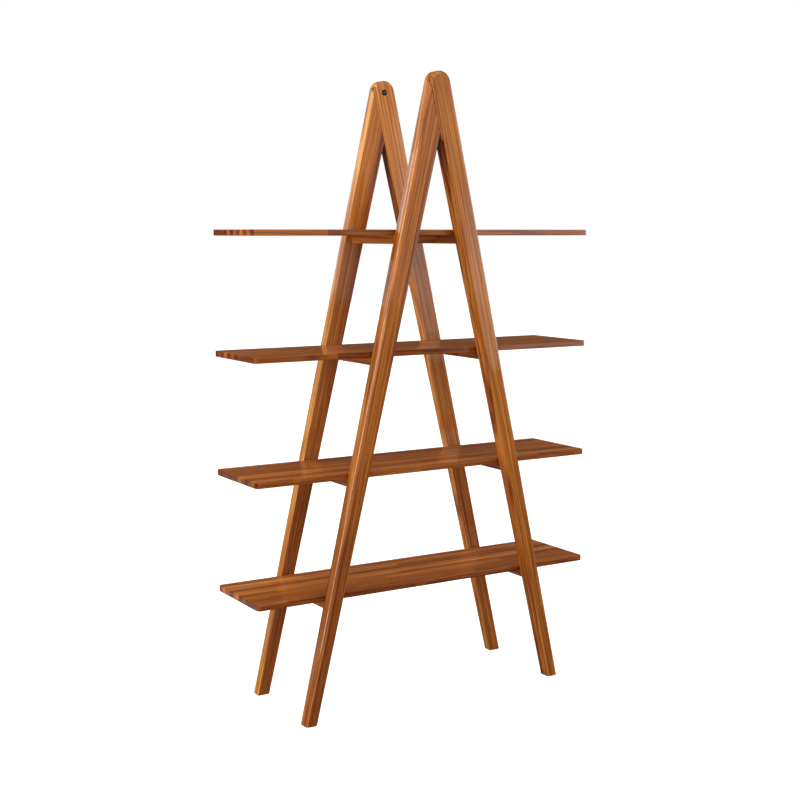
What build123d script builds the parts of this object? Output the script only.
"""Ladder shelf: two A-frames of tapered legs, half-lapped and bolted at the apex, with four
boards between them on short rails.

Millimetres, +Z up, +X along the shelves, -Y to the front. The origin is on the floor, in the
middle of the plan.
"""

import os
from math import acos, asin, atan, cos, hypot, radians, sin, tan

from build123d import *

# ---- driving dimensions -------------------------------------------------------------------

TOTAL_HEIGHT = 1829.0

FRAME_GAP = 276.0  # clear space between the inner faces of the front and rear frames
LEG_THICKNESS = 36.5
LEG_END_RADIUS = 35.0  # the leg is as wide as this full-round end at the apex
FOOT_OUTER_X = 443.5  # where the leg's two long edges meet the floor
FOOT_INNER_X = 405.5
FACE_ROUND = 10.5  # round-over of the frames' outer faces
EDGE_EASE = 2.0  # softened arris of the inner faces
FOOT_EASE = 1.8  # softened arris of the feet, which are cut level with the floor
LAP_CLEARANCE = 0.5  # hairline left at the lap's shoulders
SEAM_EASE = 0.8  # bevel of both legs' arrises along that hairline
LAP_TIP = 1.0  # the shoulder's feathered tip is cut off at this thickness
ROUTER_SHANK = 7.0  # radius from the router bit's axis to the edge that it rounds
ROUND_STOP = 16.0  # how far below the crotch the router stops on the leg that is whole there

SHELF_LENGTH = 1137.0
SHELF_DEPTH = 266.0
SHELF_THICKNESS = 17.0
SHELF_CORNER = 11.5
SHELF_EASE = 2.0
SHELF_COUNT = 4
LOWEST_SHELF_TOP = 360.0
SHELF_PITCH = 342.0

RAIL_WIDTH = 24.5
RAIL_HEIGHT = 24.0
RAIL_EASE = 1.5

DOWEL_RADIUS = 3.0
DOWEL_HOLE_RADIUS = 3.05  # room for the glue
DOWEL_LENGTH = 32.0
DOWEL_SPACING = 12.0
DOWEL_CHAMFER = 0.8
DOWEL_HOLE_DEPTH = 17.0  # in the leg and in the rail, a little more than half a dowel

SCREW_RADIUS = 2.0
SCREW_LENGTH = 29.0  # under the head
SCREW_POINT = 4.0
SCREW_HEAD_RADIUS = 4.0
SCREW_HEAD_HEIGHT = 2.6
SCREW_HEAD_BEVEL = 1.0
SCREW_CLEARANCE_RADIUS = 2.25
SCREW_COUNTERBORE_RADIUS = 4.75
SCREW_COUNTERBORE_DEPTH = 6.0
SCREW_SPACING = 170.0

BOLT_RADIUS = 3.0
BOLT_LENGTH = 30.0  # under the head
BOLT_END_BEVEL = 1.0
BOLT_HOLE_RADIUS = 3.3
BOLT_HEAD_RADIUS = 7.5
BOLT_RIM_HEIGHT = 1.2
BOLT_RIM_ROUND = 0.4
BOLT_HEAD_HEIGHT = 2.8
BOLT_CROWN_RADIUS = 5.0
HEX_KEY_SIZE = 4.0  # across flats
HEX_KEY_DEPTH = 2.0
INSERT_RADIUS = 5.0
INSERT_GROOVE_DEPTH = 0.5
INSERT_GROOVE_COUNT = 3
INSERT_LENGTH = 13.0
INSERT_HOLE_DEPTH = 14.0

OVERCUT = 1.0  # how far a cutting shape runs past the face that it opens

os.makedirs("parts", exist_ok=True)

# ---- worked out from them -----------------------------------------------------------------

APEX_Z = TOTAL_HEIGHT - LEG_END_RADIUS
INNER_FACE = FRAME_GAP / 2
OUTER_FACE = INNER_FACE + LEG_THICKNESS
LAP_PLANE = INNER_FACE + LEG_THICKNESS / 2

# Each long edge is tangent to the round end, so its lean from the vertical follows from its foot.
OUTER_LEAN = atan(FOOT_OUTER_X / APEX_Z) - asin(LEG_END_RADIUS / hypot(FOOT_OUTER_X, APEX_Z))
INNER_LEAN = atan(FOOT_INNER_X / APEX_Z) + asin(LEG_END_RADIUS / hypot(FOOT_INNER_X, APEX_Z))
CROTCH_Z = FOOT_INNER_X / tan(INNER_LEAN)

SHELF_TOPS = [LOWEST_SHELF_TOP + n * SHELF_PITCH for n in range(SHELF_COUNT)]


def leg_centre_x(z):
    """Half way between the leg's two long edges at height z."""
    outer = FOOT_OUTER_X - z * tan(OUTER_LEAN)
    inner = FOOT_INNER_X - z * tan(INNER_LEAN)
    return (outer + inner) / 2


def rail_centre(shelf_top):
    """(x, z) of the middle of a rail's section under a shelf: it is centred on the leg."""
    z = shelf_top - SHELF_THICKNESS - RAIL_HEIGHT / 2
    return leg_centre_x(z), z


def frame_plane(turn, distance):
    """A plane parallel to an A-frame, facing out from the shelves. Turn is 1 at the front and
    -1 at the rear, where the same frame is turned half round the vertical axis."""
    return Plane(origin=(0, -turn * distance, 0), x_dir=(turn, 0, 0), z_dir=(0, -turn, 0))


def face_plane(turn, face, out):
    """A plane parallel to a leg's face and this far out of it, or inside the leg if negative.
    Face is 1 for the frame's outer face and -1 for its inner face."""
    return frame_plane(turn, (OUTER_FACE if face > 0 else INNER_FACE) + face * out)


def save(builder, name):
    """Labels a finished piece and writes its STEP file."""
    builder.part.label = name
    export_step(builder.part, f"parts/{name}.step")


# ---- legs ---------------------------------------------------------------------------------


def edge_point(lean, radius, side):
    """The point at which a long edge meets a round end of this radius about the apex."""
    return (side * radius * cos(lean), APEX_Z + radius * sin(lean))


def frame_outline(plane):
    """The outline of the whole A-frame: two outer edges and the round top between them."""
    left = edge_point(OUTER_LEAN, LEG_END_RADIUS, -1)
    right = edge_point(OUTER_LEAN, LEG_END_RADIUS, 1)
    with BuildSketch(plane) as outline:
        with BuildLine():
            Line((-FOOT_OUTER_X, 0), left)
            ThreePointArc(left, (0, TOTAL_HEIGHT), right)
            Line(right, (FOOT_OUTER_X, 0))
            Line((FOOT_OUTER_X, 0), (-FOOT_OUTER_X, 0))
        make_face()
    return outline.sketch


def leg_side(plane, side, grow=0.0):
    """Everything on one leg's side of its inner edge and round end, grown by a clearance.
    Inside the frame's outline, that is the leg."""
    radius = LEG_END_RADIUS + grow
    reach = 3 * LEG_END_RADIUS
    below = -LEG_THICKNESS
    low = (side * (FOOT_INNER_X - below * tan(INNER_LEAN) - grow / cos(INNER_LEAN)), below)
    inner_x, inner_z = edge_point(INNER_LEAN, radius, 1)
    start = (-side * inner_x, 2 * APEX_Z - inner_z)
    tip_lean = OUTER_LEAN - acos(LEG_END_RADIUS / (LEG_END_RADIUS + LAP_TIP))
    end = edge_point(tip_lean, radius, -side)
    outside = edge_point(tip_lean, radius + reach, -side)
    middle = edge_point((tip_lean - INNER_LEAN) / 2, radius, -side)
    far_x = side * (FOOT_OUTER_X + reach)
    top_z = TOTAL_HEIGHT + reach
    with BuildSketch(plane) as region:
        with BuildLine():
            Line(low, start)
            ThreePointArc(start, middle, end)
            Polyline(end, outside, (outside[0], top_z), (far_x, top_z), (far_x, below), low)
        make_face()
    return region.sketch


def bevelled_side(turn, side, face, grow, slope):
    """The layer of a leg's side next to a face, SEAM_EASE deep and open past the face. Its edge
    slopes outwards at 45 degrees if slope is 1, and inwards if it is -1."""
    height = SEAM_EASE + OVERCUT
    deep_end = leg_side(face_plane(turn, face, -SEAM_EASE), side, grow)
    open_end = leg_side(face_plane(turn, face, OVERCUT), side, grow + slope * height)
    with BuildPart() as layer:
        loft([deep_end, open_end], ruled=True)
    return layer.part


def leg_space(turn, side):
    """The space on one leg's side of the frame, bevelled at the face on which the leg is whole.
    That is its face of the same number as its side."""
    with BuildPart() as space:
        start = leg_side(face_plane(turn, -side, OVERCUT), side)
        extrude(start, amount=side * (OVERCUT + LEG_THICKNESS - SEAM_EASE))
        add(bevelled_side(turn, side, side, 0, -1))
    return space.part


def round_over(turn, side, face, radius):
    """What a round-over bit removes along a leg's inner edge. It runs up from the floor. On the
    face on which the leg is whole it stops near the crotch, with the bit's round run-out. On the
    other face it runs on past the crotch into the lap, because the leg is rounded before it is
    fitted."""
    towards_leg = Vector(turn * side * cos(INNER_LEAN), 0, sin(INNER_LEAN))
    out_of_face = Vector(0, -turn * face, 0)
    end_z = CROTCH_Z - ROUND_STOP if face == side else CROTCH_Z + LEG_END_RADIUS
    end_x = turn * side * (FOOT_INNER_X - end_z * tan(INNER_LEAN))
    face_y = face_plane(turn, face, 0).origin.Y
    bit_axis = Vector(end_x, face_y, end_z) - towards_leg * ROUTER_SHANK
    along = towards_leg.cross(out_of_face)
    run = TOTAL_HEIGHT / cos(INNER_LEAN)
    reach = ROUTER_SHANK + radius
    arc_middle = (reach - radius * sin(radians(45)), -radius * (1 - cos(radians(45))))
    with BuildPart() as cutter:
        with BuildSketch(Plane(origin=bit_axis, x_dir=towards_leg, z_dir=along)) as profile:
            with BuildLine():
                Polyline(
                    (ROUTER_SHANK, -radius), (0, -radius), (0, OVERCUT), (reach, OVERCUT), (reach, 0)
                )
                ThreePointArc((reach, 0), arc_middle, (ROUTER_SHANK, -radius))
            make_face()
        extrude(amount=-run if along.Z > 0 else run)
        revolve(profile.sketch, axis=Axis(bit_axis, out_of_face))
    return cutter.part


def leg(turn, side):
    """One leg of a frame. On the side 1 it keeps the outer half of the lap, and on the side -1
    the inner half."""
    keeps_outer = side > 0
    with BuildPart() as piece:
        # The whole frame's outline gives both legs one continuous round-over across the lap.
        extrude(frame_outline(frame_plane(turn, INNER_FACE)), amount=LEG_THICKNESS)
        for face, radius in ((-1, FACE_ROUND), (0, EDGE_EASE)):
            from_inside = piece.faces().filter_by(Axis.Y).sort_by(lambda f: abs(f.center().Y))
            above_floor = from_inside[face].edges().filter_by(lambda e: e.center().Z > 0.1)
            fillet(above_floor, radius)
        add(leg_space(turn, side), mode=Mode.INTERSECT)

        # The half that the other leg takes up is cut away down to the lap plane, and the
        # shoulder's arris is bevelled.
        lap = leg_side(frame_plane(turn, LAP_PLANE), -side, LAP_CLEARANCE)
        extrude(lap, amount=-side * (LEG_THICKNESS / 2 + OVERCUT), mode=Mode.SUBTRACT)
        add(bevelled_side(turn, -side, -side, LAP_CLEARANCE, 1), mode=Mode.SUBTRACT)

        add(round_over(turn, side, 1, FACE_ROUND), mode=Mode.SUBTRACT)
        add(round_over(turn, side, -1, EDGE_EASE), mode=Mode.SUBTRACT)
        foot = piece.faces().filter_by(Axis.Z).sort_by(Axis.Z)[0]
        fillet(foot.edges(), FOOT_EASE)

        # Blind holes for the rails' dowels.
        with BuildSketch(frame_plane(turn, INNER_FACE)):
            for shelf_top in SHELF_TOPS:
                x, z = rail_centre(shelf_top)
                with Locations((side * x, z)):
                    with GridLocations(DOWEL_SPACING, 0, 2, 1):
                        Circle(DOWEL_HOLE_RADIUS)
        extrude(amount=DOWEL_HOLE_DEPTH, mode=Mode.SUBTRACT)

        # The inner half has the bolt's clearance hole, and the outer half a blind hole for
        # the threaded insert.
        with BuildSketch(frame_plane(turn, LAP_PLANE)):
            with Locations((0, APEX_Z)):
                Circle(INSERT_RADIUS if keeps_outer else BOLT_HOLE_RADIUS)
        extrude(amount=INSERT_HOLE_DEPTH if keeps_outer else -LEG_THICKNESS, mode=Mode.SUBTRACT)
    return piece


for name, turn, side in (
    ("front_left_leg", 1, -1),
    ("front_right_leg", 1, 1),
    ("rear_left_leg", -1, 1),
    ("rear_right_leg", -1, -1),
):
    save(leg(turn, side), name)

# ---- apex hardware ------------------------------------------------------------------------


def apex_bolt():
    """A low-headed bolt that enters from the frame's inner face and crosses the lap."""
    with BuildPart() as piece:
        with BuildSketch(Plane.XZ):
            with BuildLine():
                Polyline(
                    (0, -BOLT_LENGTH),
                    (BOLT_RADIUS - BOLT_END_BEVEL, -BOLT_LENGTH),
                    (BOLT_RADIUS, BOLT_END_BEVEL - BOLT_LENGTH),
                    (BOLT_RADIUS, 0),
                    (BOLT_HEAD_RADIUS, 0),
                    (BOLT_HEAD_RADIUS, BOLT_RIM_HEIGHT),
                    (BOLT_CROWN_RADIUS, BOLT_HEAD_HEIGHT),
                    (0, BOLT_HEAD_HEIGHT),
                    close=True,
                )
            make_face()
        revolve(axis=Axis.Z)
        circles = piece.edges().filter_by(GeomType.CIRCLE)
        rims = circles.filter_by(lambda e: e.radius > BOLT_HEAD_RADIUS - BOLT_RIM_ROUND)
        fillet(rims.sort_by(Axis.Z)[-1], BOLT_RIM_ROUND)
        with BuildSketch(Plane.XY.offset(BOLT_HEAD_HEIGHT)):
            RegularPolygon(HEX_KEY_SIZE / 2, 6, major_radius=False)
        extrude(amount=-HEX_KEY_DEPTH, mode=Mode.SUBTRACT)
    return piece


def threaded_insert():
    """A blind insert for the bolt: a sleeve with shallow grooves that the glue keys into."""
    groove = INSERT_LENGTH / (2 * INSERT_GROOVE_COUNT + 1)
    with BuildPart() as piece:
        Cylinder(INSERT_RADIUS, INSERT_LENGTH, align=(Align.CENTER, Align.CENTER, Align.MIN))
        for n in range(INSERT_GROOVE_COUNT):
            with BuildSketch(Plane.XY.offset((2 * n + 1) * groove)):
                Circle(INSERT_RADIUS)
                Circle(INSERT_RADIUS - INSERT_GROOVE_DEPTH, mode=Mode.SUBTRACT)
            extrude(amount=groove, mode=Mode.SUBTRACT)
        Hole(BOLT_RADIUS)
    return piece


def placed(builder, *places):
    """Copies of a piece that was made at the origin, one at each place."""
    with BuildPart() as group:
        with Locations(*places):
            add(builder.part)
    return group


for name, turn in (("front", 1), ("rear", -1)):
    inwards = (0, turn, 0)
    head = Plane(origin=(0, -turn * INNER_FACE, APEX_Z), x_dir=(1, 0, 0), z_dir=inwards)
    save(placed(apex_bolt(), head), f"{name}_apex_bolt")
    mouth = Plane(origin=(0, -turn * LAP_PLANE, APEX_Z), x_dir=(1, 0, 0), z_dir=(0, -turn, 0))
    save(placed(threaded_insert(), mouth), f"{name}_apex_insert")

# ---- rails, dowels, shelves and screws -----------------------------------------------------


def rail(side, shelf_top):
    """A square rail between a front and a rear leg, drilled for its dowels and screws."""
    x, z = rail_centre(shelf_top)
    with BuildPart() as piece:
        with BuildSketch(frame_plane(1, INNER_FACE)):
            with Locations((side * x, z)):
                RectangleRounded(RAIL_WIDTH, RAIL_HEIGHT, RAIL_EASE)
        extrude(amount=-FRAME_GAP)
        for turn in (1, -1):
            with BuildSketch(frame_plane(turn, INNER_FACE)):
                with Locations((turn * side * x, z)):
                    with GridLocations(DOWEL_SPACING, 0, 2, 1):
                        Circle(DOWEL_HOLE_RADIUS)
            extrude(amount=-DOWEL_HOLE_DEPTH, mode=Mode.SUBTRACT)
        underside = (side * x, 0, z - RAIL_HEIGHT / 2)
        with Locations(Plane(origin=underside, x_dir=(1, 0, 0), z_dir=(0, 0, -1))):
            with GridLocations(0, SCREW_SPACING, 1, 2):
                CounterBoreHole(
                    SCREW_CLEARANCE_RADIUS, SCREW_COUNTERBORE_RADIUS, SCREW_COUNTERBORE_DEPTH
                )
    return piece


def dowel():
    """A wooden dowel along Z, centred on the origin, with chamfered ends."""
    with BuildPart() as piece:
        Cylinder(DOWEL_RADIUS, DOWEL_LENGTH)
        chamfer(piece.edges().filter_by(GeomType.CIRCLE), DOWEL_CHAMFER)
    return piece


def shelf(shelf_top):
    """A board with round corners and eased edges, with blind pilot holes for its screws."""
    bottom = shelf_top - SHELF_THICKNESS
    x, z = rail_centre(shelf_top)
    with BuildPart() as piece:
        with BuildSketch(Plane.XY.offset(bottom)):
            RectangleRounded(SHELF_LENGTH, SHELF_DEPTH, SHELF_CORNER)
        extrude(amount=SHELF_THICKNESS)
        fillet(piece.faces().filter_by(Axis.Z).edges(), SHELF_EASE)
        with BuildSketch(Plane.XY.offset(bottom)):
            with GridLocations(2 * x, SCREW_SPACING, 2, 2):
                Circle(SCREW_RADIUS)
        extrude(amount=SCREW_LENGTH - (RAIL_HEIGHT - SCREW_COUNTERBORE_DEPTH), mode=Mode.SUBTRACT)
    return piece


def wood_screw():
    """A pan-head screw that points up, with the underside of its head at the origin."""
    with BuildPart() as piece:
        with BuildSketch(Plane.XZ):
            with BuildLine():
                Polyline(
                    (0, -SCREW_HEAD_HEIGHT),
                    (SCREW_HEAD_RADIUS - SCREW_HEAD_BEVEL, -SCREW_HEAD_HEIGHT),
                    (SCREW_HEAD_RADIUS, SCREW_HEAD_BEVEL - SCREW_HEAD_HEIGHT),
                    (SCREW_HEAD_RADIUS, 0),
                    (SCREW_RADIUS, 0),
                    (SCREW_RADIUS, SCREW_LENGTH - SCREW_POINT),
                    (0, SCREW_LENGTH),
                    close=True,
                )
            make_face()
        revolve(axis=Axis.Z)
    return piece


for number, shelf_top in enumerate(SHELF_TOPS, 1):
    x, z = rail_centre(shelf_top)
    for side_name, side in (("left", -1), ("right", 1)):
        save(rail(side, shelf_top), f"{side_name}_rail_{number}")
        dowel_places = [
            Plane(origin=(side * x + dx, end * INNER_FACE, z), z_dir=(0, 1, 0))
            for end in (-1, 1)
            for dx in (-DOWEL_SPACING / 2, DOWEL_SPACING / 2)
        ]
        save(placed(dowel(), *dowel_places), f"{side_name}_rail_{number}_dowels")
    save(shelf(shelf_top), f"shelf_{number}")
    head_z = z - RAIL_HEIGHT / 2 + SCREW_COUNTERBORE_DEPTH
    screw_places = [
        (sx * x, sy * SCREW_SPACING / 2, head_z) for sx in (-1, 1) for sy in (-1, 1)
    ]
    save(placed(wood_screw(), *screw_places), f"shelf_{number}_screws")
